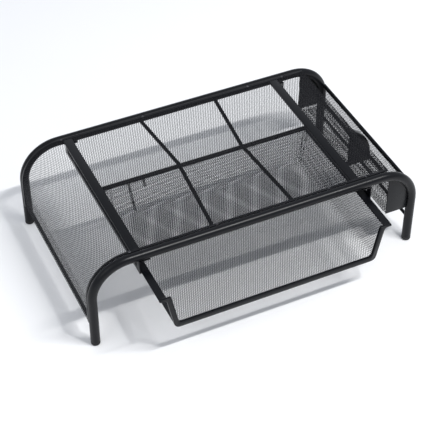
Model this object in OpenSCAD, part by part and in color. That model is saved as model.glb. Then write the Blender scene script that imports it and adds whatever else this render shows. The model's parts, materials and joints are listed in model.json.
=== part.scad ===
// Mesh monitor riser stand: two bent tube frames carry a mesh deck, a sliding
// drawer hangs in rails under it, and a divided organizer fills the right bend.
// +Y is the rear. The origin is on the floor, at the middle of the stand's whole
// footprint with the drawer where it stands. Inside the modules below, Y is counted
// from the point midway between the front and rear legs, and on_base() moves it.

/* [Overall] */
// Width over the outside of the legs
stand_w = 508; // [440:1:560]
// Depth over the outside of the two tubes
stand_d = 284; // [250:1:320]
// Height to the top of the tubes
stand_h = 144; // [130:1:180]

/* [Tube frames] */
// Outside diameter of the bent tubes
tube_d = 13.5; // [12:0.5:16]
// Wall thickness of the bent tubes
tube_wall = 1.2; // [1:0.1:1.6]
// Centreline radius of the four bends
bend_r = 55; // [45:1:60]

/* [Deck] */
// Centre of the wide bar at the left of the deck
left_bar_x = -179.5; // [-180:0.5:-160]
// Centre of the wide bar at the right of the deck
right_bar_x = 154; // [140:1:158]
// Width of the two wide bars
wide_bar_w = 13; // [8:0.5:13]
// Width of the two chevron bars under the deck mesh
chevron_bar_w = 5.5; // [3:0.5:7]
// Width of the middle bar that crosses them
middle_bar_w = 3.5; // [3:0.5:7]
// Place of the middle bar from front to rear
middle_bar_y = 10; // [-20:1:30]
// Left chevron bar where it meets the tubes
left_chevron_x = -67; // [-100:1:-40]
// Right chevron bar where it meets the tubes
right_chevron_x = 56; // [30:1:100]
// How far each chevron bar bends inwards at the middle bar
chevron_bend = 12; // [0:1:20]
// Thickness of every mesh sheet
mesh_t = 1; // [0.8:0.1:1.2]

/* [Side rods] */
// Diameter of the two rods between the legs
rod_d = 5; // [4:0.5:6]
// Height of the rods above the floor
rod_z = 41; // [36:1:52]

/* [Organizer] */
// Inner wall of the organizer
organizer_x = 206; // [200:1:212]
// Underside of the organizer
organizer_z = 64; // [56:1:68]
// Top of the rim on the outer wall
rim_top_z = 105; // [98:1:112]
// Height of the rim strip
rim_h = 8; // [6:0.5:10]
// Height of the strip along the foot of the outer wall
foot_strip_h = 9; // [6:0.5:12]
// Place of the divider from front to rear
divider_y = -20; // [-50:1:20]
// Radius of the divider's curved top edge
divider_r = 54; // [50:1:56]
// Thickness of the sheet metal plates
plate_t = 1.2; // [1:0.1:1.6]

/* [Drawer] */
// Middle of the drawer from left to right
drawer_x = -2; // [-6:0.5:0]
// Front face of the drawer as it stands partly open
drawer_front_y = -202; // [-240:1:-180]
// Depth of the drawer along its top
drawer_d = 244; // [220:1:250]
// Underside of the drawer
drawer_z = 52; // [40:1:60]
// Top of the flanges that the drawer hangs by
drawer_top_z = 112; // [108:1:114]
// Half width of the drawer across its foot
drawer_foot_hw = 153.5; // [140:0.5:158]
// Half width of the drawer across the top of its walls
drawer_wall_hw = 165; // [160:1:167]
// Width of the two hanging flanges
flange_w = 10; // [9:0.5:11]
// How far the rear wall leans back from foot to top
rear_lean = 10; // [0:1:15]
// Width of the strip round the open front of the drawer
front_strip_w = 7.5; // [5:0.5:8]
// How far the drawer comes out from where it stands
open_travel = 120; // [80:1:130]
// How far the drawer goes in from where it stands
close_travel = 54; // [40:1:54]

/* [Hidden] */
$fn = 48;

steel_black = "#232428";
mesh_black = "#2b2c31";
rubber_black = "#1a1a1c";
zinc_grey = "#55575c";
far = 400;
touch_gap = 0.05;
hole_slack = 0.2;

// Tube frames
tube_r = tube_d / 2;
leg_x = stand_w / 2 - tube_r;
tube_y = stand_d / 2 - tube_r;
tube_z = stand_h - tube_r;
bend_x = leg_x - bend_r;
bend_z = tube_z - bend_r;
foot_h = 6;
foot_plug_h = 10;
foot_edge_r = 2;

// The sheet follows the tubes' centreline at this distance outside it
sheet_in = 4.9;
sheet_out = sheet_in + mesh_t;
sheet_z = tube_z + sheet_in;
strip_t = 1.2;
strip_w = 3.9;
strip_out_y = tube_y - 4.7;
strip_in_y = strip_out_y - strip_w;
mesh_end_y = strip_in_y - touch_gap;
side_mesh_foot_z = rod_z - rod_d / 2;
rivet_x = [-188, -60, 112, 170];
rivet_d = 2.4;
rivet_head_d = 3.8;
rivet_head_h = 0.9;
rivet_tail_h = 0.8;
rivet_y = (strip_out_y + strip_in_y) / 2;

// Deck bars
wide_bar_t = 3.5;
thin_bar_t = 2;
left_rod_x = -(leg_x + sheet_in - rod_d / 2 - touch_gap);
hem_h = 10;
hem_z = rod_z + rod_d / 2 + 0.5;

// Organizer
wall_x = leg_x - 2;
rim_t = 2.5;
foot_strip_t = 1.5;
end_y = tube_y - plate_t / 2 - touch_gap;
leg_clear_y = tube_y - tube_r - 2 * touch_gap;
inner_wall_step_z = 120;
inner_wall_top_z = 128;
divider_end_x = wall_x - 0.2;
divider_cx = divider_end_x - divider_r;
divider_cz = 80;
divider_lip = 8;

// Drawer and rails
flange_t = 2;
flange_z = drawer_top_z - flange_t;
flange_hw = drawer_wall_hw + flange_w;
drawer_rear_y = drawer_front_y + drawer_d;
front_frame_t = 5;
front_corner_r = 9;
flare_r = 6;
stop_h = 5;
stop_w = 4;
stop_t = 4;
stop_gap = 0.6;
rear_rim_w = 8;
rail_t = 1.4;
rail_gap = 0.8;
rail_lift = 0.4;
rail_web_hw = flange_hw + rail_gap;
rail_ledge_w = 6;
rail_stop_w = 5;
rail_z = flange_z - rail_lift - rail_t;
rail_top_z = tube_z - tube_r - 2 * touch_gap;
rail_web_top_z = drawer_top_z + 2;
rail_tab_l = 10;
rail_tab_w = 15;
rail_screw_hw = rail_web_hw - rail_tab_w / 2;
rail_screw_d = 3.8;
rail_screw_head_d = 8;
rail_screw_head_h = 2.2;
rail_screw_reach = 5;
rail_end_y = tube_y + rail_screw_head_d / 2 + 0.5;

// Middle of the footprint, from the rear tube and the drawer's front
footprint_y = (stand_d / 2 + drawer_front_y) / 2;

module on_base() {
    translate([0, -footprint_y, 0]) children();
}

// Lays an outline drawn as (X, Z) out along Y.
module along_y(y0, y1) {
    translate([0, y1, 0]) rotate([90, 0, 0]) linear_extrude(y1 - y0) children();
}

// Lays an outline drawn as (Y, Z) out along X.
module along_x(x0, x1) {
    translate([x0, 0, 0]) rotate([90, 0, 90]) linear_extrude(x1 - x0) children();
}

// A box between two opposite corners.
module block(low, high) {
    translate(low) cube(high - low);
}

// One corner of a ring about the origin, from the -X side up to the +Z side.
module ring_corner(r_in, r_out) {
    intersection() {
        difference() {
            circle(r_out, $fn = 96);
            circle(r_in, $fn = 96);
        }
        translate([-far, 0]) square(far);
    }
}

// ---------- Tube frames ----------

// One leg, bend and half crossbar, solid at the given radius.
module half_hoop(r) {
    translate([leg_x, 0, foot_h]) cylinder(r = r, h = bend_z - foot_h);
    translate([bend_x, 0, bend_z]) rotate([90, 0, 0])
        rotate_extrude(angle = 90, $fn = 96) translate([bend_r, 0]) circle(r);
    translate([0, 0, tube_z]) rotate([0, 90, 0]) cylinder(r = r, h = bend_x);
}

module hoop_solid(r) {
    half_hoop(r);
    mirror([1, 0, 0]) half_hoop(r);
}

module bent_tube(y) {
    difference() {
        translate([0, y, 0]) difference() {
            hoop_solid(tube_r);
            hoop_solid(tube_r - tube_wall);
        }
        for (side = [-1, 1])
            translate([drawer_x + side * rail_screw_hw, y, rail_top_z - 1])
                cylinder(d = rail_screw_d + hole_slack, h = rail_screw_reach);
    }
}

module front_tube() {
    color(steel_black) on_base() bent_tube(-tube_y);
}

module rear_tube() {
    color(steel_black) on_base() bent_tube(tube_y);
}

// A cap with a plug that goes up inside the leg.
module foot_cap(side_x, side_y) {
    color(rubber_black) on_base() translate([side_x * leg_x, side_y * tube_y, 0]) {
        rotate_extrude() union() {
            square([tube_r - foot_edge_r, foot_h]);
            translate([0, foot_edge_r]) square([tube_r, foot_h - foot_edge_r]);
            translate([tube_r - foot_edge_r, foot_edge_r]) intersection() {
                circle(foot_edge_r);
                translate([0, -foot_edge_r]) square(foot_edge_r);
            }
        }
        translate([0, 0, foot_h]) cylinder(r = tube_r - tube_wall - touch_gap, h = foot_plug_h);
    }
}

module foot_front_left() { foot_cap(-1, -1); }
module foot_front_right() { foot_cap(1, -1); }
module foot_rear_left() { foot_cap(-1, 1); }
module foot_rear_right() { foot_cap(1, 1); }

// ---------- Deck ----------

// The two straight tubes, to cope the ends of the bars that meet them.
module tube_cutters() {
    for (side = [-1, 1])
        translate([-bend_x, side * tube_y, tube_z]) rotate([0, 90, 0])
            cylinder(r = tube_r, h = 2 * bend_x);
}

// A flat bar whose lower part reaches both tubes and whose top is flush with the mesh.
module wide_bar(x) {
    color(steel_black) on_base() difference() {
        union() {
            block([x - wide_bar_w / 2, -tube_y, sheet_z + mesh_t - wide_bar_t],
                [x + wide_bar_w / 2, tube_y, sheet_z]);
            block([x - wide_bar_w / 2, -mesh_end_y, sheet_z],
                [x + wide_bar_w / 2, mesh_end_y, sheet_z + mesh_t]);
        }
        tube_cutters();
    }
}

module left_wide_bar() { wide_bar(left_bar_x); }
module right_wide_bar() { wide_bar(right_bar_x); }

module middle_bar() {
    color(steel_black) on_base() block(
        [left_bar_x + wide_bar_w / 2, middle_bar_y - middle_bar_w / 2, sheet_z - 2 * thin_bar_t],
        [right_bar_x - wide_bar_w / 2, middle_bar_y + middle_bar_w / 2, sheet_z - thin_bar_t]);
}

// A narrow bar that bends at the middle bar, seen from above as a wide V.
module chevron_bar(x, bend) {
    half = chevron_bar_w / 2;
    color(steel_black) on_base() difference() {
        translate([0, 0, sheet_z - thin_bar_t]) linear_extrude(thin_bar_t) polygon([
            [x - half, -tube_y], [x + half, -tube_y], [x + bend + half, middle_bar_y],
            [x + half, tube_y], [x - half, tube_y], [x + bend - half, middle_bar_y]
        ]);
        tube_cutters();
    }
}

module left_chevron_bar() { chevron_bar(left_chevron_x, chevron_bend); }
module right_chevron_bar() { chevron_bar(right_chevron_x, -chevron_bend); }

// A band that climbs the left legs, follows the bend and runs right to end_x.
module sheet_outline(inner, outer, foot_z, end_x) {
    translate([-leg_x - outer, foot_z]) square([outer - inner, bend_z - foot_z]);
    translate([-bend_x, bend_z]) ring_corner(bend_r + inner, bend_r + outer);
    translate([-bend_x, tube_z + inner]) square([end_x + bend_x, outer - inner]);
}

module edge_strip(side) {
    low = side > 0 ? strip_in_y : -strip_out_y;
    high = side > 0 ? strip_out_y : -strip_in_y;
    color(steel_black) on_base() difference() {
        along_y(low, high)
            sheet_outline(sheet_in, sheet_in + strip_t, side_mesh_foot_z, organizer_x);
        for (x = rivet_x)
            translate([x, side * rivet_y, sheet_z - rivet_tail_h])
                cylinder(d = rivet_d + 2 * touch_gap, h = strip_t + 2 * rivet_tail_h);
    }
}

module front_edge_strip() { edge_strip(-1); }
module rear_edge_strip() { edge_strip(1); }

module edge_rivets() {
    color(zinc_grey) on_base() for (side = [-1, 1]) for (x = rivet_x)
        translate([x, side * rivet_y, sheet_z + strip_t]) {
            cylinder(d = rivet_head_d, h = rivet_head_h);
            translate([0, 0, -strip_t - rivet_tail_h]) cylinder(d = rivet_d, h = strip_t + rivet_tail_h);
        }
}

module side_mesh() {
    color(mesh_black) on_base() along_y(-mesh_end_y, mesh_end_y)
        sheet_outline(sheet_in, sheet_out, side_mesh_foot_z, left_bar_x - wide_bar_w / 2);
}

module deck_mesh() {
    color(mesh_black) on_base() block([left_bar_x + wide_bar_w / 2, -mesh_end_y, sheet_z],
        [right_bar_x - wide_bar_w / 2, mesh_end_y, sheet_z + mesh_t]);
}

module organizer_top_mesh() {
    color(mesh_black) on_base() block([right_bar_x + wide_bar_w / 2, -mesh_end_y, sheet_z],
        [organizer_x, mesh_end_y, sheet_z + mesh_t]);
}

// ---------- Side rods ----------

// A rod between two legs, with its ends coped to them.
module bottom_rod(x, side) {
    color(steel_black) on_base() difference() {
        translate([x, tube_y, rod_z]) rotate([90, 0, 0]) cylinder(d = rod_d, h = 2 * tube_y);
        for (end = [-1, 1])
            translate([side * leg_x, end * tube_y, rod_z - rod_d])
                cylinder(r = tube_r, h = 2 * rod_d);
    }
}

module left_bottom_rod() { bottom_rod(left_rod_x, -1); }
module right_bottom_rod() { bottom_rod(leg_x, 1); }

// The foot of the side mesh is folded round the rod and back up its inner face.
module side_mesh_hem() {
    color(mesh_black) on_base() block([-leg_x - sheet_in, -mesh_end_y, hem_z],
        [-leg_x - sheet_in + mesh_t, mesh_end_y, hem_z + hem_h]);
}

// ---------- Rails ----------

// A bent sheet rail, drawn for the right side of the drawer: a ledge under the
// flange, a web beside it, a stop at each end of the travel, and an upright with a
// fixing tab at each end.
module rail_shape() {
    front_stop_y = drawer_rear_y - stop_t - open_travel - stop_gap;
    rear_stop_y = drawer_rear_y + close_travel + stop_gap;
    difference() {
        union() {
            block([rail_web_hw - rail_ledge_w, -rail_end_y, rail_z],
                [rail_web_hw, rail_end_y, rail_z + rail_t]);
            block([rail_web_hw, -rail_end_y, rail_z],
                [rail_web_hw + rail_t, rail_end_y, rail_web_top_z]);
            for (low = [-rail_end_y, rail_end_y - rail_tab_l]) {
                block([rail_web_hw, low, rail_z], [rail_web_hw + rail_t, low + rail_tab_l, rail_top_z]);
                block([rail_web_hw - rail_tab_w, low, rail_top_z - rail_t],
                    [rail_web_hw, low + rail_tab_l, rail_top_z]);
            }
            block([rail_web_hw - rail_stop_w, front_stop_y - rail_t, drawer_top_z + stop_gap],
                [rail_web_hw + rail_t, front_stop_y, drawer_top_z + stop_h]);
            block([rail_web_hw - rail_stop_w, rear_stop_y, rail_z + rail_t],
                [rail_web_hw + rail_t, rear_stop_y + rail_t, drawer_top_z + stop_h]);
        }
        for (side = [-1, 1])
            translate([rail_screw_hw, side * tube_y, rail_top_z - 2 * rail_t])
                cylinder(d = rail_screw_d + hole_slack, h = 3 * rail_t);
    }
}

module left_rail() {
    color(steel_black) on_base() translate([drawer_x, 0, 0]) mirror([1, 0, 0]) rail_shape();
}

module right_rail() {
    color(steel_black) on_base() translate([drawer_x, 0, 0]) rail_shape();
}

module rail_screws() {
    color(zinc_grey) on_base() for (side = [-1, 1]) for (end = [-1, 1])
        translate([drawer_x + side * rail_screw_hw, end * tube_y, rail_top_z - rail_t]) {
            translate([0, 0, -rail_screw_head_h])
                cylinder(d = rail_screw_head_d, h = rail_screw_head_h);
            cylinder(d = rail_screw_d, h = rail_screw_reach);
        }
}

// ---------- Organizer ----------

// The sheet that fills the inside of a tube's right bend.
module end_plate_outline() {
    intersection() {
        translate([organizer_x, organizer_z]) square([leg_x - tube_r - organizer_x, far]);
        union() {
            translate([bend_x, bend_z]) circle(bend_r - tube_r, $fn = 96);
            translate([organizer_x, 0]) square([bend_r, bend_z]);
        }
    }
}

module end_plate(y) {
    color(steel_black) on_base() along_y(y - plate_t / 2, y + plate_t / 2) end_plate_outline();
}

module organizer_rear_plate() { end_plate(tube_y); }
module organizer_front_plate() { end_plate(-tube_y); }

// The divider's outline: its top edge is an arc that falls to the outer wall.
module divider_outline(inset) {
    intersection() {
        translate([organizer_x + mesh_t, organizer_z + mesh_t])
            square([divider_end_x - organizer_x - mesh_t, far]);
        union() {
            translate([divider_cx, divider_cz]) circle(divider_r - inset, $fn = 96);
            translate([organizer_x, 0]) square([wall_x - organizer_x, divider_cz]);
        }
    }
}

module organizer_divider() {
    color(steel_black) on_base() {
        along_y(divider_y - plate_t / 2, divider_y + plate_t / 2) divider_outline(0);
        along_y(divider_y, divider_y + divider_lip) difference() {
            divider_outline(0);
            divider_outline(plate_t);
            square([far, rim_top_z - rim_h]);
        }
    }
}

module organizer_inner_mesh() {
    color(mesh_black) on_base() along_x(organizer_x, organizer_x + mesh_t) {
        translate([-end_y, organizer_z + mesh_t])
            square([2 * end_y, inner_wall_top_z - organizer_z - mesh_t]);
        translate([-mesh_end_y, inner_wall_step_z])
            square([2 * mesh_end_y, sheet_z + mesh_t - inner_wall_step_z]);
    }
}

module organizer_floor_mesh() {
    color(mesh_black) on_base() translate([0, 0, organizer_z]) linear_extrude(mesh_t) {
        translate([organizer_x, -leg_clear_y]) square([wall_x - organizer_x, 2 * leg_clear_y]);
        translate([organizer_x, -end_y])
            square([leg_x - tube_r - hole_slack - organizer_x, 2 * end_y]);
    }
}

module organizer_outer_mesh() {
    color(mesh_black) on_base() block([wall_x, -leg_clear_y, organizer_z],
        [wall_x + mesh_t, leg_clear_y, rim_top_z]);
}

module organizer_rim() {
    color(steel_black) on_base() block([wall_x + mesh_t, -leg_clear_y, rim_top_z - rim_h],
        [wall_x + mesh_t + rim_t, leg_clear_y, rim_top_z]);
}

module organizer_foot_strip() {
    color(steel_black) on_base() block([wall_x + mesh_t, -leg_clear_y, organizer_z],
        [wall_x + mesh_t + foot_strip_t, leg_clear_y, organizer_z + foot_strip_h]);
}

// ---------- Drawer ----------

// Half width of the drawer's walls at a height, inset by the wall's thickness.
function wall_hw(z, inset = 0) =
    drawer_foot_hw - inset
    + (drawer_wall_hw - drawer_foot_hw) * (z - drawer_z) / (flange_z - drawer_z);

// Rear wall's outer face at a height.
function rear_y(z) = drawer_rear_y - rear_lean * (flange_z - z) / (flange_z - drawer_z);

// The drawer's section across X and Z, from its foot up to a height.
module drawer_section(top_z, inset) {
    polygon([
        [drawer_x - wall_hw(drawer_z, inset), drawer_z + inset],
        [drawer_x + wall_hw(drawer_z, inset), drawer_z + inset],
        [drawer_x + wall_hw(top_z, inset), top_z],
        [drawer_x - wall_hw(top_z, inset), top_z]
    ]);
}

// Everything behind the inner face of the rear wall.
module behind_rear_wall() {
    along_x(-far, far) polygon([
        [rear_y(drawer_z) - mesh_t, drawer_z], [far, drawer_z],
        [far, flange_z + 1], [rear_y(flange_z + 1) - mesh_t, flange_z + 1]
    ]);
}

// The strip round the open front, with stubs that flare out to the flanges.
module front_frame_outline() {
    offset(r = -flare_r) offset(delta = flare_r) {
        difference() {
            offset(r = front_corner_r) offset(delta = -front_corner_r)
                drawer_section(drawer_top_z + 3 * front_corner_r, 0);
            offset(r = front_corner_r - front_strip_w)
                offset(delta = -front_corner_r)
                    drawer_section(drawer_top_z + 5 * front_corner_r, 0);
            translate([-far, drawer_top_z]) square([2 * far, far]);
        }
        for (side = [-1, 1])
            translate([drawer_x + side * (drawer_wall_hw + flange_w / 2 - 1), drawer_top_z - 1.5])
                square([flange_w + 2, 3], center = true);
    }
}

module drawer_front_frame() {
    color(steel_black) on_base() along_y(drawer_front_y, drawer_front_y + front_frame_t)
        front_frame_outline();
}

// A flange along the top of one side wall, with a stop tab bent up at its rear end.
module drawer_flange(side) {
    inner = drawer_wall_hw - mesh_t;
    color(steel_black) on_base() translate([drawer_x, 0, 0]) mirror([side < 0 ? 1 : 0, 0, 0]) {
        block([inner, drawer_front_y + front_frame_t, flange_z],
            [flange_hw, drawer_rear_y, drawer_top_z]);
        block([flange_hw - stop_w, drawer_rear_y - stop_t, drawer_top_z],
            [flange_hw, drawer_rear_y, drawer_top_z + stop_h]);
    }
}

module drawer_left_flange() { drawer_flange(-1); }
module drawer_right_flange() { drawer_flange(1); }

module drawer_rear_rim() {
    inner = drawer_wall_hw - mesh_t;
    color(steel_black) on_base() block([drawer_x - inner, drawer_rear_y - rear_rim_w, flange_z],
        [drawer_x + inner, drawer_rear_y, drawer_top_z]);
}

module drawer_bottom_mesh() {
    color(mesh_black) on_base() block(
        [drawer_x - drawer_foot_hw, drawer_front_y + front_frame_t, drawer_z],
        [drawer_x + drawer_foot_hw, rear_y(drawer_z), drawer_z + mesh_t]);
}

module drawer_side_mesh(side) {
    foot = drawer_z + mesh_t;
    color(mesh_black) on_base() difference() {
        along_y(drawer_front_y + front_frame_t, drawer_rear_y) translate([drawer_x, 0])
            mirror([side < 0 ? 1 : 0, 0]) polygon([
                [wall_hw(foot, mesh_t), foot], [wall_hw(foot), foot],
                [wall_hw(flange_z), flange_z], [wall_hw(flange_z, mesh_t), flange_z]
            ]);
        behind_rear_wall();
    }
}

module drawer_left_mesh() { drawer_side_mesh(-1); }
module drawer_right_mesh() { drawer_side_mesh(1); }

module drawer_rear_mesh() {
    foot = drawer_z + mesh_t;
    color(mesh_black) on_base() intersection() {
        along_x(-far, far) polygon([
            [rear_y(foot) - mesh_t, foot], [rear_y(foot), foot],
            [rear_y(flange_z), flange_z], [rear_y(flange_z) - mesh_t, flange_z]
        ]);
        along_y(drawer_front_y, drawer_rear_y + 1) drawer_section(flange_z, 0);
    }
}

front_tube();
rear_tube();
foot_front_left();
foot_front_right();
foot_rear_left();
foot_rear_right();
left_wide_bar();
right_wide_bar();
middle_bar();
left_chevron_bar();
right_chevron_bar();
front_edge_strip();
rear_edge_strip();
edge_rivets();
side_mesh();
deck_mesh();
organizer_top_mesh();
left_bottom_rod();
right_bottom_rod();
side_mesh_hem();
left_rail();
right_rail();
rail_screws();
organizer_rear_plate();
organizer_divider();
organizer_front_plate();
organizer_inner_mesh();
organizer_floor_mesh();
organizer_outer_mesh();
organizer_rim();
organizer_foot_strip();
drawer_front_frame();
drawer_left_flange();
drawer_right_flange();
drawer_rear_rim();
drawer_bottom_mesh();
drawer_left_mesh();
drawer_right_mesh();
drawer_rear_mesh();
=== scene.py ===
"""Looks for the mesh monitor riser stand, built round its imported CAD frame.

Expanded metal stands for the plain CAD sheets, and the steel pieces get rounded edges,
weld beads, screw recesses and a powder coat. Lengths are in metres, in the CAD's frame:
+X towards the organizer, +Y to the rear, +Z up.
"""

import json
import math

import bmesh
import bpy
import numpy as np
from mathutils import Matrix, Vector


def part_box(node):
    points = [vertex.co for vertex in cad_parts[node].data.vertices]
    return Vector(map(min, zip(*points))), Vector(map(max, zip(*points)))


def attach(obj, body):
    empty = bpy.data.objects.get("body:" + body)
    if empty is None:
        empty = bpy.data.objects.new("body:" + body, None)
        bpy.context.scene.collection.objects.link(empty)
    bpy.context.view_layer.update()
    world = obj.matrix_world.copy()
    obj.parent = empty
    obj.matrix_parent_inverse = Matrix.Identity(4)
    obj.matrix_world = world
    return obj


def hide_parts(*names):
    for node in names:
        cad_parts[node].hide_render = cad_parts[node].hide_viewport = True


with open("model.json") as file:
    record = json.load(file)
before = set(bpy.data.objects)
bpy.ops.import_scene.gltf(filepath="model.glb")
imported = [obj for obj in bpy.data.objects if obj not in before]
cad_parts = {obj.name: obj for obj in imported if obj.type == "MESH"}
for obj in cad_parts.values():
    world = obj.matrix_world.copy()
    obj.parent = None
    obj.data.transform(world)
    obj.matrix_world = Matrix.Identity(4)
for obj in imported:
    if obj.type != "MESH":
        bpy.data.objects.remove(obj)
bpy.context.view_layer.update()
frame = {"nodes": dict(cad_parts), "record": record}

MM = 0.001
QUARTER_TURN = math.pi / 2
FULL_TURN = 2 * math.pi
FRAME_BODY = "frame"
DRAWER_BODY = "drawer"

# The radius of the CAD part's tube, and how far a chevron bar's middle is off its ends' line
TUBE_R = 6.75 * MM
CHEVRON_BEND = 12.0 * MM

# Points of a CAD mesh that are closer than this are one point
SAME_POINT = 0.002 * MM

# The smallest radius that is divided by
NEAR_ZERO = 1e-9

# Surfaces: noise in cycles per metre, depths of relief, and pairs of colours that it mixes
CLOUDS_NOISE = 24.0
MARKS_NOISE = 260.0
PEEL_NOISE = 900.0
PEEL_DEPTH = 0.05 * MM
RUBBER_DUST_NOISE = 140.0
RUBBER_GLOSS_NOISE = 60.0
RUBBER_GRAIN_NOISE = 1600.0
RUBBER_GRAIN_DEPTH = 0.05 * MM
RUBBER_COLORS = [(0.012, 0.012, 0.013), (0.03, 0.029, 0.028)]
ZINC_TINT_NOISE = 500.0
ZINC_GLOSS_NOISE = 900.0
ZINC_GRAIN_NOISE = 2400.0
ZINC_GRAIN_DEPTH = 0.02 * MM
ZINC_COLORS = [(0.035, 0.035, 0.038), (0.11, 0.11, 0.12)]
FLOOR_NOISE = 3.0
FLOOR_COLORS = [(0.93, 0.93, 0.935), (0.95, 0.95, 0.952)]

# Expanded metal: openings are rhombi, and each strand leans between its two openings.
# An opening's size is a share of its cell. Smaller faces than the smallest are left out.
CELL_SHORT = 2.8 * MM
CELL_LONG = 5.6 * MM
STRAND_T = 0.55 * MM
STRAND_LEAN = 0.18 * MM
DECK_OPENING = 0.73
DRAWER_OPENING = 0.76
SIDE_OPENING = 0.79
WIDE_OPENING = 0.80
SMALLEST_FACE = 0.004 * MM * MM

# The side sheet's gauge against the deck's, and the radius of its quarter turn at the deck
SIDE_GAUGE = 0.6
SIDE_BEND_R = 60.4 * MM

# The drawer's sheet is pressed to a tray: its folds, its corners and the crumples in them.
# It parts into four pieces, at its middle and this far to both sides of it.
TRAY_FOLD_R = 8.0 * MM
TRAY_FLAT_CORNER_R = 3.0 * MM
TRAY_CORNER_R = 9.0 * MM
TRAY_CORNER_POINTS = 9
TRAY_CRUMPLE = 1.7 * MM
TRAY_CRUMPLES = 4
TRAY_CUT_X = 100.0 * MM

# Gathered pleats in the drawer's rear wall: the X of the top of each, and the share of the
# wall's height that it starts from. The sheet goes inwards in one fold and back in the next.
# The squeeze is how far along the wall a fold gets, as a share of the fold's own width.
TRAY_PLEATS = [(-124.0 * MM, 0.15), (-101.0 * MM, 0.72)]
PLEAT_DEPTH = 4.0 * MM
PLEAT_FOLD = 3.5 * MM
PLEAT_FOLDS = 8
PLEAT_SQUEEZE = 0.13
PLEAT_SLANT = 7.0 * MM
PLEAT_OPENING = 0.65

# Rounded edges: the rounding's width on each CAD node, in millimetres. Edges that bend by
# more degrees than EDGE_ANGLE are rounded, and those that bend by less than FLAT_ANGLE go.
# Here and below, edges that bend by more than a CRISP angle are not smoothed over.
EDGE_ANGLE = 40
FLAT_ANGLE = 0.5
EDGE_SEGMENTS = 2
STEEL_CRISP = 32
ROUNDED = {
    FRAME_BODY: {
        "left_wide_bar": 0.6, "right_wide_bar": 0.6, "middle_bar": 0.5,
        "left_chevron_bar": 0.5, "right_chevron_bar": 0.5,
        "front_edge_strip": 0.35, "rear_edge_strip": 0.35,
        "left_rail": 0.4, "right_rail": 0.4,
        "organizer_rear_plate": 0.35, "organizer_front_plate": 0.35, "organizer_divider": 0.35,
        "organizer_rim": 0.6, "organizer_foot_strip": 0.5,
    },
    DRAWER_BODY: {
        "drawer_front_frame": 1.0, "drawer_left_flange": 0.5, "drawer_right_flange": 0.5,
        "drawer_rear_rim": 0.5,
    },
}

# Weld beads: the ripple is a share of the radius, and the guide is never along a bead
BEAD_R = 0.9 * MM
BEAD_STEP = 0.4 * MM
BEAD_RIPPLE = 0.16
BEAD_SIDES = 8
BEAD_GUIDE = np.array([0.15, 1.0, 0.1])
ROD_BEAD_POINTS = 40
BEAD_CRISP = 50

# Button-head screws in the rails, and domed rivets in the edge strips. A head's profile is in
# shares of its radius and height, from the edge of its underside to the axis. The hexagon
# socket starts at SOCKET_RING, counted from 0 at the foot of the shank.
SCREW_R = 1.9 * MM
SCREW_L = 5.0 * MM
SCREW_POINT_R = 1.33 * MM
SCREW_POINT_L = 0.4 * MM
SCREW_HEAD_R = 4.0 * MM
SCREW_HEAD_H = 2.2 * MM
SCREW_HEAD = [(0.94, 0), (1, 0.12), (0.97, 0.45), (0.84, 0.8), (0.66, 0.97), (0.5, 1),
              (0.45, 0.96), (0.423, 0.9), (0.423, 0.35), (0, 0.28)]
SOCKET_RING = 9
SCREW_SIDES = 36
RIVET_R = 1.2 * MM
RIVET_L = 2.0 * MM
RIVET_HEAD_R = 1.9 * MM
RIVET_HEAD_H = 0.9 * MM
RIVET_HEAD = [(0.96, 0), (1, 0.15), (0.93, 0.45), (0.75, 0.75), (0.45, 0.95), (0, 1)]
RIVET_SIDES = 24
FASTENER_CRISP = 35

# Feet: the sole's dish as (radius, height) points, the rounded edge, the grooves, each from
# its height up, the cap's top, and the plug that goes up inside the leg
SOLE_DISH = [(0, 0.5 * MM), (3.0 * MM, 0.4 * MM), (4.2 * MM, 0)]
FOOT_EDGE_R = 2.0 * MM
FOOT_EDGE_ANGLES = [0, 22, 45, 67, 90]
GROOVES_Z = [2.6 * MM, 4.0 * MM]
GROOVE_DEPTH = 0.25 * MM
GROOVE_SLOPE = 0.2 * MM
GROOVE_FLAT = 0.4 * MM
CAP_TOP = 6.0 * MM
CAP_EDGE = 0.3 * MM
PLUG_TOP = 16.0 * MM
PLUG_INSET = 1.25 * MM
PLUG_EDGE = 0.6 * MM
FOOT_SIDES = 40
FOOT_CRISP = 40

# Floor: its width, and its depth below the feet
FLOOR_W = 12.0
FLOOR_GAP = 0.2 * MM

# Lamps: place, width and height, power in watts, and what each is aimed at; then the even
# light from all round
STAND_MIDDLE = (0, 0, 0.06)
LAMPS = {
    "key": ((0.35, -1.0, 2.2), (0.12, 0.12), 9, STAND_MIDDLE),
    "strip": ((0.85, -1.0, 2.2), (1.2, 0.05), 37, (0.85, 0, 0.06)),
    "fill": ((-1.6, -0.6, 1.5), (1.2, 1.2), 5, STAND_MIDDLE),
}
SKY_COLOR = (0.89, 0.93, 1.0)
SKY_STRENGTH = 0.64

# Camera: its angles round the target in degrees, its lens and sensor in millimetres
CAMERA_AZIMUTH = -25.17
CAMERA_ELEVATION = 42.48
CAMERA_DISTANCE = 1.9787
CAMERA_TARGET = (-0.01624, 0.001, 0.060)
LENS = 114.26
SENSOR_W = 36.0
CLIP_NEAR = 0.05
CLIP_FAR = 50.0


# ---------- Materials ----------

def new_material(name):
    """A node material with its Principled shader and the surface position in object space."""
    material = bpy.data.materials.new(name)
    material.use_nodes = True
    nodes = material.node_tree.nodes
    shader = nodes["Principled BSDF"]
    place = nodes.new("ShaderNodeTexCoord").outputs["Object"]
    return material, shader, place


def noise(material, place, scale, detail=3.0, roughness=0.55):
    """Noise of about scale cycles per metre, from 0 to 1."""
    node = material.node_tree.nodes.new("ShaderNodeTexNoise")
    node.inputs["Scale"].default_value = scale
    node.inputs["Detail"].default_value = detail
    node.inputs["Roughness"].default_value = roughness
    material.node_tree.links.new(place, node.inputs["Vector"])
    return node.outputs["Fac"]


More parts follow.
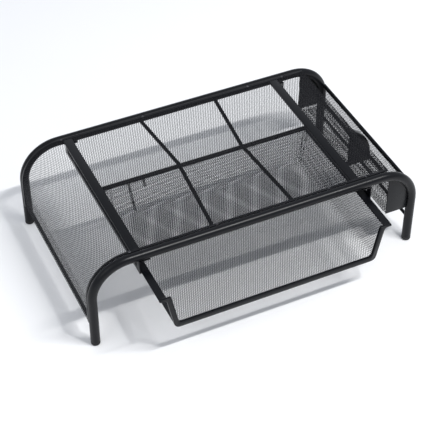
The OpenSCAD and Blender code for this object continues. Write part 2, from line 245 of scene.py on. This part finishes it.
def mapped(material, value, low, high, new_low, new_high):
    """A value from low to high, clamped and carried over to new_low to new_high."""
    node = material.node_tree.nodes.new("ShaderNodeMapRange")
    node.inputs["From Min"].default_value = low
    node.inputs["From Max"].default_value = high
    node.inputs["To Min"].default_value = new_low
    node.inputs["To Max"].default_value = new_high
    material.node_tree.links.new(value, node.inputs["Value"])
    return node.outputs["Result"]


def mixed(material, share, low_color, high_color):
    """A colour between two fixed ones."""
    node = material.node_tree.nodes.new("ShaderNodeMix")
    node.data_type = "RGBA"
    for socket, color in (("A", low_color), ("B", high_color)):
        [i for i in node.inputs if i.name == socket and i.type == "RGBA"][0].default_value = (*color, 1)
    material.node_tree.links.new(share, node.inputs["Factor"])
    return [o for o in node.outputs if o.type == "RGBA"][0]


def bumped(material, shader, height, distance, strength):
    """Relief of the given depth on the shader's normal."""
    node = material.node_tree.nodes.new("ShaderNodeBump")
    node.inputs["Distance"].default_value = distance
    node.inputs["Strength"].default_value = strength
    material.node_tree.links.new(height, node.inputs["Height"])
    material.node_tree.links.new(node.outputs["Normal"], shader.inputs["Normal"])


def coating(name, base, worn, rough_low, rough_high, peel, specular):
    """Black powder coat: orange peel, a little uneven gloss, and faint handling marks."""
    material, shader, place = new_material(name)
    links = material.node_tree.links
    clouds = noise(material, place, CLOUDS_NOISE)
    marks = noise(material, place, MARKS_NOISE, detail=5.0, roughness=0.7)
    share = mapped(material, marks, 0.5, 0.78, 0.0, 0.5)
    links.new(mixed(material, share, base, worn), shader.inputs["Base Color"])
    links.new(mapped(material, clouds, 0.3, 0.7, rough_low, rough_high), shader.inputs["Roughness"])
    bumped(material, shader, noise(material, place, PEEL_NOISE, detail=2.0), PEEL_DEPTH, peel)
    shader.inputs["Specular IOR Level"].default_value = specular
    return material


def rubber_material():
    """Moulded rubber, dull, with a fine grain and a little dust."""
    material, shader, place = new_material("foot_rubber")
    links = material.node_tree.links
    dust = noise(material, place, RUBBER_DUST_NOISE, detail=4.0)
    share = mapped(material, dust, 0.45, 0.75, 0.0, 0.6)
    links.new(mixed(material, share, *RUBBER_COLORS), shader.inputs["Base Color"])
    gloss = noise(material, place, RUBBER_GLOSS_NOISE)
    links.new(mapped(material, gloss, 0.3, 0.7, 0.7, 0.88), shader.inputs["Roughness"])
    grain = noise(material, place, RUBBER_GRAIN_NOISE, detail=2.0)
    bumped(material, shader, grain, RUBBER_GRAIN_DEPTH, 0.5)
    return material


def zinc_material():
    """Black zinc plate, of an uneven tint and gloss, with a fine grain."""
    material, shader, place = new_material("black_zinc")
    links = material.node_tree.links
    tint = noise(material, place, ZINC_TINT_NOISE, detail=4.0)
    share = mapped(material, tint, 0.35, 0.7, 0.0, 1.0)
    links.new(mixed(material, share, *ZINC_COLORS), shader.inputs["Base Color"])
    gloss = noise(material, place, ZINC_GLOSS_NOISE)
    links.new(mapped(material, gloss, 0.3, 0.7, 0.25, 0.45), shader.inputs["Roughness"])
    shader.inputs["Metallic"].default_value = 0.7
    grain = noise(material, place, ZINC_GRAIN_NOISE, detail=2.0)
    bumped(material, shader, grain, ZINC_GRAIN_DEPTH, 0.4)
    return material


SLOTS = {
    "powder_coat": coating("powder_coat", (0.0025, 0.0028, 0.0042), (0.006, 0.0065, 0.0085),
                           rough_low=0.26, rough_high=0.35, peel=0.2, specular=0.24),
    "coated_mesh": coating("coated_mesh", (0.012, 0.0124, 0.0152), (0.021, 0.0217, 0.0265),
                           rough_low=0.38, rough_high=0.50, peel=0.12, specular=0.16),
    "foot_rubber": rubber_material(),
    "fastener": zinc_material(),
}


# ---------- Making pieces ----------

def add_piece(name, mesh, body, slot, nodes=()):
    """Puts a mesh into the scene as a piece that rides on a body and may replace CAD nodes."""
    piece = bpy.data.objects.new(name, mesh)
    bpy.context.scene.collection.objects.link(piece)
    mesh.materials.clear()
    mesh.materials.append(SLOTS[slot])
    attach(piece, body)
    if nodes:
        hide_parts(*nodes)


def smooth(mesh, crisp_above=None):
    """Smooth faces, with the edges sharper than an angle in degrees kept crisp."""
    mesh.polygons.foreach_set("use_smooth", [True] * len(mesh.polygons))
    if crisp_above is not None:
        mesh.set_sharp_from_angle(angle=math.radians(crisp_above))


def add_shape(name, shape, body, slot, nodes=(), crisp_above=None):
    """Makes a piece from a shape, which is a pair of points and faces."""
    points, faces = shape
    mesh = bpy.data.meshes.new(name)
    mesh.from_pydata(points, [], faces)
    mesh.update()
    smooth(mesh, crisp_above)
    add_piece(name, mesh, body, slot, nodes)


def merged_copy(node):
    """An editable copy of a CAD node's mesh, with its doubled points merged."""
    made = bmesh.new()
    made.from_mesh(frame["nodes"][node].data)
    bmesh.ops.remove_doubles(made, verts=made.verts, dist=SAME_POINT)
    return made


def middle(node, axis):
    """The middle of a CAD node's box along an axis."""
    low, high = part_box(node)
    return (low[axis] + high[axis]) / 2


# ---------- Expanded metal ----------

def sides_of(corners):
    """Each side of a convex outline, counter-clockwise, as its start and inward normal."""
    for start, end in zip(corners, np.roll(corners, -1, axis=0)):
        along = (end - start) / np.linalg.norm(end - start)
        yield start, np.array([-along[1], along[0]])


def depth_inside(points, corners):
    """How far inside a convex outline each point is."""
    return np.min([(points - start) @ inward for start, inward in sides_of(corners)], axis=0)


def pushed_inside(points, corners):
    """The points, with those outside a convex outline moved onto its edge."""
    points = points.copy()
    for start, inward in list(sides_of(corners)) * 2:
        outside = np.minimum((points - start) @ inward, 0)
        points -= outside[:, None] * inward
    return points


def lattice(corners, opening_share):
    """Expanded metal that fills a convex outline.

    Returns (a, b, h) points, the eight four-sided faces round each opening, and the
    openings' centres. a runs the short way of the openings, b the long way, and h is the
    height off the sheet. Grid points whose two numbers add up to an even sum are openings;
    the others are the bonds that join the strands. A strand is thickest along its middle.
    """
    half = np.array([CELL_SHORT, CELL_LONG]) / 2
    low, high = corners.min(0), corners.max(0)
    count = np.ceil((high - low) / half).astype(int) + 3
    origin = (low + high) / 2 - half * (count // 2)
    m, n = np.meshgrid(*[np.arange(c) for c in count], indexing="ij")
    flat = origin + np.stack([m, n], -1) * half

    around = np.array([[1, 0], [0, 1], [-1, 0], [0, -1]])
    inner = (m[1:-1, 1:-1] + n[1:-1, 1:-1]) % 2 == 0
    centre = np.stack([m[1:-1, 1:-1][inner], n[1:-1, 1:-1][inner]], -1)
    bonds = centre[:, None, :] + around
    reach = depth_inside(flat[bonds[..., 0], bonds[..., 1]].reshape(-1, 2), corners)
    kept = reach.reshape(-1, 4).max(1) > 0
    centre, bonds = centre[kept], bonds[kept]

    bond_id = bonds[..., 0] * count[1] + bonds[..., 1]
    used, bond_id = np.unique(bond_id, return_inverse=True)
    bond_id = bond_id.reshape(-1, 4)
    bond_at = flat.reshape(-1, 2)[used]
    centre_at = flat[centre[:, 0], centre[:, 1]]
    opening = (centre_at[:, None, :] + around * half * opening_share).reshape(-1, 2)
    lean = np.tile(around[:, 0] * STRAND_LEAN, len(centre))

    at = pushed_inside(np.vstack([bond_at, opening, bond_at]), corners)
    crest = np.full(len(bond_at), STRAND_T / 2)
    points = np.column_stack([at, np.concatenate([crest, lean, -crest])])
    opening_id = len(bond_at) + np.arange(4 * len(centre)).reshape(-1, 4)
    below = len(bond_at) + len(opening)

    next_bond, next_opening = np.roll(bond_id, -1, 1), np.roll(opening_id, -1, 1)
    upper = np.stack([bond_id, next_bond, next_opening, opening_id], -1)
    lower = np.stack([opening_id, next_opening, next_bond + below, bond_id + below], -1)
    return points, np.concatenate([upper, lower], axis=1), centre_at


def face_areas(points, faces):
    """The area of each four-sided face, from its two diagonals."""
    across = points[faces[:, 2]] - points[faces[:, 0]]
    other = points[faces[:, 3]] - points[faces[:, 1]]
    return np.linalg.norm(np.cross(across, other), axis=1) / 2


def mesh_sheet(name, outlines, place, body, nodes, opening_share=DECK_OPENING, axis=0, cuts=()):
    """Expanded metal in place of CAD sheets, laid where place() puts its (a, b, h) points.

    A big sheet becomes several pieces, which part along lines of bonds at the cuts on an axis.
    """
    points, cells, centres, offset = [], [], [], 0
    for corners in outlines:
        part_points, part_cells, part_centres = lattice(np.array(corners, float), opening_share)
        points.append(part_points)
        cells.append(part_cells + offset)
        centres.append(part_centres)
        offset += len(part_points)
    points, cells, centres = np.vstack(points), np.vstack(cells), np.vstack(centres)
    at = place(points[:, 0], points[:, 1], points[:, 2])
    share = np.searchsorted(cuts, centres[:, axis]) if cuts else np.zeros(len(centres), int)
    for part in range(len(cuts) + 1):
        faces = cells[share == part].reshape(-1, 4)
        faces = faces[face_areas(points, faces) > SMALLEST_FACE]
        used, faces = np.unique(faces, return_inverse=True)
        piece_name = f"{name}_{part + 1}" if cuts else name
        shape = at[used].tolist(), faces.reshape(-1, 4).tolist()
        add_shape(piece_name, shape, body, "coated_mesh", nodes)


def rectangle(a_low, b_low, a_high, b_high):
    """A sheet's outline, counter-clockwise."""
    return [[a_low, b_low], [a_high, b_low], [a_high, b_high], [a_low, b_high]]


def flat_place(z):
    """A level sheet: a along X, b along Y."""
    return lambda a, b, h: np.column_stack([a, b, z + h])


def upright_place(x, gauge=1.0):
    """A sheet square to X, of a gauge against the deck's: a up along Z, b along Y."""
    return lambda a, b, h: np.column_stack([x - gauge * h, b, a])


def side_place(wall_x, deck_z):
    """The side sheet: a climbs the legs, follows the bend and runs right over the deck; b along Y."""
    bend_length = SIDE_BEND_R * QUARTER_TURN
    bend_z = deck_z - SIDE_BEND_R

    def place(a, b, h):
        turn = np.clip((a - bend_z) / bend_length, 0, 1) * QUARTER_TURN
        past = np.maximum(a - bend_z - bend_length, 0)
        reach = SIDE_BEND_R + SIDE_GAUGE * h
        x = wall_x + SIDE_BEND_R - reach * np.cos(turn) + past
        z = np.minimum(a, bend_z) + reach * np.sin(turn)
        return np.column_stack([x, b, z])

    return place


def build_deck_sheets():
    low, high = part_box("deck_mesh")
    sheet_t = high.z - low.z
    mesh_sheet("deck_sheet", [rectangle(low.x, low.y, high.x, high.y)], flat_place(middle("deck_mesh", 2)),
               FRAME_BODY, ["deck_mesh"], axis=1, cuts=[middle("middle_bar", 1)])

    low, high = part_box("organizer_top_mesh")
    mesh_sheet("organizer_top_sheet", [rectangle(low.x, low.y, high.x, high.y)],
               flat_place(middle("organizer_top_mesh", 2)), FRAME_BODY, ["organizer_top_mesh"])

    low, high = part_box("side_mesh")
    wall_x, deck_z = low.x + sheet_t / 2, high.z - sheet_t / 2
    past_bend = high.x - (wall_x + SIDE_BEND_R)
    end = deck_z - SIDE_BEND_R + SIDE_BEND_R * QUARTER_TURN + past_bend
    mesh_sheet("side_sheet", [rectangle(low.z, low.y, end, high.y)], side_place(wall_x, deck_z),
               FRAME_BODY, ["side_mesh"], SIDE_OPENING)

    low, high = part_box("side_mesh_hem")
    mesh_sheet("side_hem_sheet", [rectangle(low.z, low.y, high.z, high.y)],
               upright_place(middle("side_mesh_hem", 0), SIDE_GAUGE), FRAME_BODY,
               ["side_mesh_hem"], WIDE_OPENING)


def build_organizer_sheets():
    low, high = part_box("organizer_inner_mesh")
    top_low, top_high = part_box("organizer_top_mesh")
    step_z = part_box("organizer_front_plate")[1].z - TUBE_R / 2
    outlines = [rectangle(low.z, low.y, step_z, high.y), rectangle(step_z, top_low.y, top_low.z, top_high.y)]
    mesh_sheet("organizer_inner_sheet", outlines, upright_place(middle("organizer_inner_mesh", 0)),
               FRAME_BODY, ["organizer_inner_mesh"])

    outer_low, outer_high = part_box("organizer_outer_mesh")
    mesh_sheet("organizer_outer_sheet", [rectangle(outer_low.z, outer_low.y, outer_high.z, outer_high.y)],
               upright_place(middle("organizer_outer_mesh", 0)), FRAME_BODY, ["organizer_outer_mesh"],
               WIDE_OPENING)

    low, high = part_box("organizer_floor_mesh")
    mesh_sheet("organizer_floor_sheet", [rectangle(low.x, outer_low.y, high.x, outer_high.y)],
               flat_place(middle("organizer_floor_mesh", 2)), FRAME_BODY, ["organizer_floor_mesh"])


class Tray:
    """The drawer's pressed sheet: a flat floor with walls that lean out at both sides and the rear.

    The flat sheet has a across and b from front to rear, about the drawer's middle line.
    """

    def __init__(self):
        floor_low, floor_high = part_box("drawer_bottom_mesh")
        side_low, side_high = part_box("drawer_right_mesh")
        rear_low, rear_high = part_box("drawer_rear_mesh")
        sheet_t = floor_high.z - floor_low.z
        self.x = middle("drawer_bottom_mesh", 0)
        self.z = middle("drawer_bottom_mesh", 2)
        self.rise = side_high.z - self.z
        self.front = floor_low.y
        rise = side_high.z - side_low.z
        self.side_lean = math.atan2(rise, side_high.x - side_low.x - sheet_t)
        self.rear_lean = math.atan2(rise, rear_high.y - rear_low.y - sheet_t)
        fold = [TRAY_FOLD_R * math.tan(lean / 2) for lean in (self.side_lean, self.rear_lean)]
        self.corner_x = floor_high.x - self.x - sheet_t / 2 - fold[0] - TRAY_FLAT_CORNER_R
        self.corner_y = floor_high.y - sheet_t / 2 - fold[1] - TRAY_FLAT_CORNER_R

    def lean(self, share):
        """The wall's angle from level, from the sides at 0 round the corner to the rear at 1."""
        return self.side_lean + (self.rear_lean - self.side_lean) * share

    def wall_length(self, share):
        """The length of sheet from the start of the fold to the top of the wall."""
        lean = self.lean(share)
        straight = (self.rise - TRAY_FOLD_R * (1 - np.cos(lean))) / np.sin(lean)
        return TRAY_FOLD_R * lean + straight

    def outline(self):
        """The flat sheet, with its two rear corners rounded."""
        shares = np.linspace(0, 1, TRAY_CORNER_POINTS)
        reach = TRAY_FLAT_CORNER_R + self.wall_length(shares)
        angle = shares * QUARTER_TURN
        x, y = self.corner_x + reach * np.cos(angle), self.corner_y + reach * np.sin(angle)
        right = np.column_stack([x, y])
        left = (right * [-1, 1])[::-1]
        return np.vstack([[left[-1][0], self.front], [right[0][0], self.front], right, left])

    def place(self, a, b, h):
        """The pressed sheet's points.

        Sheet past the corners' centres folds up into the walls. In plan it is spread along
        the side, round the corner and along the rear.
        """
        across = np.maximum(np.abs(a) - self.corner_x, 0)
        behind = np.maximum(b - self.corner_y, 0)
        from_corner = np.hypot(across, behind)
        share = np.arctan2(behind, across) / QUARTER_TURN
        lean = self.lean(share)
        along = np.maximum(from_corner - TRAY_FLAT_CORNER_R, 0)
        climb = np.clip(along / self.wall_length(share), 0, 1)
        h = h + TRAY_CRUMPLE * np.sin(math.pi * climb) * np.sin(FULL_TURN * TRAY_CRUMPLES * share)
        turn = np.minimum(along / TRAY_FOLD_R, lean)
        straight = np.maximum(along - TRAY_FOLD_R * lean, 0)
        out = TRAY_FOLD_R * np.sin(turn) + straight * np.cos(lean) - h * np.sin(turn)
        up = TRAY_FOLD_R * (1 - np.cos(turn)) + straight * np.sin(lean) + h * np.cos(turn)

        reach = np.maximum(np.minimum(from_corner, TRAY_FLAT_CORNER_R) + out, 0)
        radius = np.clip(reach, NEAR_ZERO, TRAY_CORNER_R)
        side = np.maximum(reach - radius, 0)
        arc = radius * QUARTER_TURN
        walk = share * (2 * side + arc)
        bend = np.clip((walk - side) / radius, 0, QUARTER_TURN)
        past = np.clip(walk - side - arc, 0, side)
        x = np.minimum(np.abs(a), self.corner_x) + (side + radius * np.cos(bend) - past) * (from_corner > 0)
        y = np.minimum(b, self.corner_y) + np.minimum(walk, side) + radius * np.sin(bend) * (from_corner > 0)
        return np.column_stack([self.x + np.sign(a) * x, y, self.z + up])

    def pleat_place(self, pleat_x):
        """Sheet gathered to a narrow pleat on the rear wall: a goes round the folds, b climbs."""
        wall_length = self.wall_length(1)

        def place(a, b, h):
            fold = 1 - np.abs(a / PLEAT_FOLD % 2 - 1)
            across = pleat_x - self.x + PLEAT_SLANT * (1 - b / wall_length) + PLEAT_SQUEEZE * a
            return self.place(across, self.corner_y + TRAY_FLAT_CORNER_R + b, h + PLEAT_DEPTH * fold)

        return place


def build_drawer_sheet():
    tray = Tray()
    nodes = ["drawer_bottom_mesh", "drawer_left_mesh", "drawer_right_mesh", "drawer_rear_mesh"]
    mesh_sheet("drawer_tray_sheet", [tray.outline()], tray.place, DRAWER_BODY, nodes, DRAWER_OPENING,
               cuts=[-TRAY_CUT_X, 0.0, TRAY_CUT_X])
    wall_length = tray.wall_length(1)
    for number, (pleat_x, start) in enumerate(TRAY_PLEATS, 1):
        outline = rectangle(0, start * wall_length, PLEAT_FOLDS * PLEAT_FOLD, wall_length)
        mesh_sheet(f"drawer_pleat_{number}", [outline], tray.pleat_place(pleat_x), DRAWER_BODY, [],
                   PLEAT_OPENING)


# ---------- Steel pieces ----------

def soften(node, body, width):
    """A CAD node's shape again, with its sharp edges rounded, in the node's place."""
    made = merged_copy(node)
    bmesh.ops.dissolve_limit(made, angle_limit=math.radians(FLAT_ANGLE), verts=made.verts, edges=made.edges)
    sharp = [e for e in made.edges if e.is_manifold and e.calc_face_angle(0.0) > math.radians(EDGE_ANGLE)]
    bmesh.ops.bevel(made, geom=sharp, offset=width, segments=EDGE_SEGMENTS, profile=0.5,
                    affect="EDGES", clamp_overlap=True)
    mesh = bpy.data.meshes.new(node + "_rounded")
    made.to_mesh(mesh)
    made.free()
    smooth(mesh, STEEL_CRISP)
    add_piece(node + "_rounded", mesh, body, "powder_coat", [node])


def build_rounded_steel():
    for body, widths in ROUNDED.items():
        for node, width in widths.items():
            soften(node, body, width * MM)


# ---------- Weld beads ----------

def bead(path, closed):
    """A rippled weld bead along a path of points: its points and faces, with capped ends."""
    path = np.array(path, float)
    ahead = np.roll(path, -1, axis=0) - np.roll(path, 1, axis=0)
    if not closed:
        ahead[0], ahead[-1] = path[1] - path[0], path[-1] - path[-2]
    ahead /= np.linalg.norm(ahead, axis=1)[:, None]
    other = np.cross(ahead, BEAD_GUIDE)
    other /= np.linalg.norm(other, axis=1)[:, None]
    third = np.cross(ahead, other)
    angles = np.arange(BEAD_SIDES)[None, :, None] * FULL_TURN / BEAD_SIDES
    radius = BEAD_R * (1 + BEAD_RIPPLE * np.cos(np.arange(len(path)) * QUARTER_TURN))
    ring = np.cos(angles) * other[:, None, :] + np.sin(angles) * third[:, None, :]
    points = (path[:, None, :] + radius[:, None, None] * ring).reshape(-1, 3)
    faces = []
    for step in range(len(path) if closed else len(path) - 1):
        near, far = step * BEAD_SIDES, (step + 1) % len(path) * BEAD_SIDES
        for k in range(BEAD_SIDES):
            after = (k + 1) % BEAD_SIDES
            faces.append([near + k, near + after, far + after, far + k])
    if not closed:
        last = (len(path) - 1) * BEAD_SIDES
        faces.append(list(range(BEAD_SIDES))[::-1])
        faces.append([last + k for k in range(BEAD_SIDES)])
    return points, faces


def rod_bead_paths():
    """Closed paths round both ends of each rod, where it meets a leg."""
    for side in ("left", "right"):
        low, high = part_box(side + "_bottom_rod")
        rod_x, rod_z, rod_r = (low.x + high.x) / 2, (low.z + high.z) / 2, (high.z - low.z) / 2
        for end, inwards in (("front", 1), ("rear", -1)):
            leg_x, leg_y = middle(f"foot_{end}_{side}", 0), middle(f"foot_{end}_{side}", 1)
            angles = np.linspace(0, FULL_TURN, ROD_BEAD_POINTS, endpoint=False)
            x, z = rod_x + rod_r * np.cos(angles), rod_z + rod_r * np.sin(angles)
            y = leg_y + inwards * np.sqrt(np.maximum(TUBE_R ** 2 - (x - leg_x) ** 2, 0))
            yield np.column_stack([x, y, z])


def bar_bead_paths():
    """Paths across the underside of each bar, where it meets a tube."""
    for node in ("left_wide_bar", "right_wide_bar", "left_chevron_bar", "right_chevron_bar"):
        low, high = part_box(node)
        end_w = (high.x - low.x) - (CHEVRON_BEND if "chevron" in node else 0)
        x_low = high.x - end_w if node == "right_chevron_bar" else low.x
        for tube, inwards in (("front_tube", 1), ("rear_tube", -1)):
            tube_low, tube_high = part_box(tube)
            tube_y, tube_z = (tube_low.y + tube_high.y) / 2, tube_high.z - TUBE_R
            y = tube_y + inwards * math.sqrt(TUBE_R ** 2 - (low.z - tube_z) ** 2)
            x = np.arange(x_low + BEAD_R, x_low + end_w - BEAD_R, BEAD_STEP)
            yield np.column_stack([x, np.full(len(x), y), np.full(len(x), low.z)])


def build_welds():
    points, faces = [], []
    for closed, paths in ((True, rod_bead_paths()), (False, bar_bead_paths())):
        for path in paths:
            bead_points, bead_faces = bead(path, closed)
            faces += [[len(points) + v for v in face] for face in bead_faces]
            points += bead_points.tolist()
    add_shape("weld_beads", (points, faces), FRAME_BODY, "powder_coat", (), BEAD_CRISP)


# ---------- Turned pieces ----------

def turned(profile, sides, hex_from=None):
    """A closed solid of revolution about Z from (radius, z) points, from the axis to the axis.

    From the ring number hex_from on, the rings are hexagons.
    """
    angles = np.arange(sides) * FULL_TURN / sides
    points, faces = [[0, 0, profile[0][1]]], []
    for ring, (radius, z) in enumerate(profile[1:-1]):
        shape = np.ones(sides)
        if hex_from is not None and ring >= hex_from:
            shape = math.cos(math.pi / 6) / np.cos((angles % (math.pi / 3)) - math.pi / 6)
        points += [[radius * s * math.cos(t), radius * s * math.sin(t), z] for s, t in zip(shape, angles)]
    rings = len(profile) - 2
    for k in range(sides):
        after = (k + 1) % sides
        faces.append([0, 1 + k, 1 + after])
        for ring in range(rings - 1):
            row = 1 + ring * sides
            faces.append([row + k, row + sides + k, row + sides + after, row + after])
        last = 1 + (rings - 1) * sides
        faces.append([last + k, 1 + rings * sides, last + after])
    points.append([0, 0, profile[-1][1]])
    return np.array(points), faces


def copies(shape, places):
    """One set of points and faces from a shape put at each (origin, x axis, y axis, z axis)."""
    shape_points, shape_faces = shape
    points, faces = [], []
    for origin, *axes in places:
        offset = len(points)
        points += (np.array(origin) + shape_points @ np.array(axes, float)).tolist()
        faces += [[offset + v for v in face] for face in shape_faces]
    return points, faces


def scaled(profile, radius, height):
    """A profile in shares of a radius and a height, at its real size."""
    return [(r * radius, z * height) for r, z in profile]


def screw_shape():
    """A button head with a hexagon socket, its shank below it, and the head's top towards +Z."""
    head = scaled(SCREW_HEAD, SCREW_HEAD_R, SCREW_HEAD_H)
    shank = [(0, -SCREW_L), (SCREW_POINT_R, -SCREW_L), (SCREW_R, SCREW_POINT_L - SCREW_L), (SCREW_R, 0)]
    return turned(shank + head, SCREW_SIDES, hex_from=SOCKET_RING)


def rivet_shape():
    """A plain shank under a dome, with the dome's top towards +Z."""
    shank = [(0, -RIVET_L), (RIVET_R, -RIVET_L), (RIVET_R, 0)]
    return turned(shank + scaled(RIVET_HEAD, RIVET_HEAD_R, RIVET_HEAD_H), RIVET_SIDES)


def solid_boxes(node):
    """The boxes of a CAD node's separate solids, as (low, high) pairs."""
    made = merged_copy(node)
    left, boxes = set(made.verts), []
    while left:
        group, edge = set(), [left.pop()]
        while edge:
            vert = edge.pop()
            group.add(vert)
            for link in vert.link_edges:
                other = link.other_vert(vert)
                if other in left:
                    left.discard(other)
                    edge.append(other)
        at = np.array([v.co for v in group])
        boxes.append((at.min(0), at.max(0)))
    made.free()
    return sorted(boxes, key=lambda b: tuple(np.round(b[0], 4)))


def build_fasteners():
    x, y, z = np.eye(3)
    places = [([*((low + high) / 2)[:2], low[2] + SCREW_HEAD_H], x, -y, -z)
              for low, high in solid_boxes("rail_screws")]
    add_shape("rail_button_screws", copies(screw_shape(), places), FRAME_BODY, "fastener",
              ["rail_screws"], FASTENER_CRISP)

    places = [([*((low + high) / 2)[:2], high[2] - RIVET_HEAD_H], x, y, z)
              for low, high in solid_boxes("edge_rivets")]
    add_shape("edge_dome_rivets", copies(rivet_shape(), places), FRAME_BODY, "fastener",
              ["edge_rivets"], FASTENER_CRISP)


def foot_shape():
    """A ribbed cap with a dished sole, and its plug."""
    profile = list(SOLE_DISH)
    for angle in np.radians(FOOT_EDGE_ANGLES):
        inset, z = FOOT_EDGE_R * (1 - math.sin(angle)), FOOT_EDGE_R * (1 - math.cos(angle))
        profile.append((TUBE_R - inset, z))
    groove_r, plug_r = TUBE_R - GROOVE_DEPTH, TUBE_R - PLUG_INSET
    for z in GROOVES_Z:
        bottom_z = z + GROOVE_SLOPE
        top_z = bottom_z + GROOVE_FLAT
        profile += [(TUBE_R, z), (groove_r, bottom_z), (groove_r, top_z), (TUBE_R, top_z + GROOVE_SLOPE)]
    profile += [(TUBE_R, CAP_TOP - CAP_EDGE), (TUBE_R - CAP_EDGE, CAP_TOP), (plug_r, CAP_TOP),
                (plug_r, PLUG_TOP - PLUG_EDGE), (plug_r - PLUG_EDGE, PLUG_TOP), (0, PLUG_TOP)]
    return turned(profile, FOOT_SIDES)


def build_feet():
    shape = foot_shape()
    for end in ("front", "rear"):
        for side in ("left", "right"):
            node = f"foot_{end}_{side}"
            origin = [middle(node, 0), middle(node, 1), 0]
            add_shape(node + "_cap", copies(shape, [(origin, *np.eye(3))]), FRAME_BODY, "foot_rubber",
                      [node], FOOT_CRISP)


# ---------- Stage, light and camera ----------

def build_floor():
    bpy.ops.mesh.primitive_plane_add(size=FLOOR_W, location=(0, 0, -FLOOR_GAP))
    floor = bpy.context.object
    floor.name = "floor"
    material, shader, place = new_material("pale_floor")
    tint = mixed(material, noise(material, place, FLOOR_NOISE), *FLOOR_COLORS)
    material.node_tree.links.new(tint, shader.inputs["Base Color"])
    shader.inputs["Roughness"].default_value = 0.9
    floor.data.materials.append(material)


def aimed(obj, at):
    """Turns a lamp or camera towards a point."""
    obj.rotation_mode = "QUATERNION"
    obj.rotation_quaternion = (Vector(at) - obj.location).to_track_quat("-Z", "Y")


def add_lamp(name, at, size, power, target):
    data = bpy.data.lights.new(name, "AREA")
    data.shape = "RECTANGLE"
    data.size, data.size_y = size
    data.energy = power
    lamp = bpy.data.objects.new(name, data)
    bpy.context.scene.collection.objects.link(lamp)
    lamp.location = at
    aimed(lamp, target)


def build_light():
    world = bpy.data.worlds.new("studio")
    bpy.context.scene.world = world
    world.use_nodes = True
    background = world.node_tree.nodes["Background"]
    background.inputs["Color"].default_value = (*SKY_COLOR, 1)
    background.inputs["Strength"].default_value = SKY_STRENGTH
    for name, lamp in LAMPS.items():
        add_lamp(name, *lamp)


def build_camera():
    azimuth, elevation = math.radians(CAMERA_AZIMUTH), math.radians(CAMERA_ELEVATION)
    back = Vector((math.sin(azimuth) * math.cos(elevation),
                   -math.cos(azimuth) * math.cos(elevation), math.sin(elevation)))
    data = bpy.data.cameras.new("camera")
    data.sensor_width, data.lens = SENSOR_W, LENS
    data.clip_start, data.clip_end = CLIP_NEAR, CLIP_FAR
    camera = bpy.data.objects.new("camera", data)
    bpy.context.scene.collection.objects.link(camera)
    camera.location = Vector(CAMERA_TARGET) + back * CAMERA_DISTANCE
    aimed(camera, CAMERA_TARGET)
    bpy.context.scene.camera = camera


def paint_cad_nodes():
    """Puts each CAD node's own slot on it, for the nodes that stay as they are."""
    slot_of = {s["node"]: s["material_slot"] for s in frame["record"]["subparts"]}
    for name, node in frame["nodes"].items():
        node.data.materials.clear()
        node.data.materials.append(SLOTS[slot_of[name]])


bpy.context.scene.view_settings.view_transform = "Standard"
build_camera()
build_light()
build_floor()
paint_cad_nodes()
build_deck_sheets()
build_organizer_sheets()
build_drawer_sheet()
build_rounded_steel()
build_welds()
build_fasteners()
build_feet()
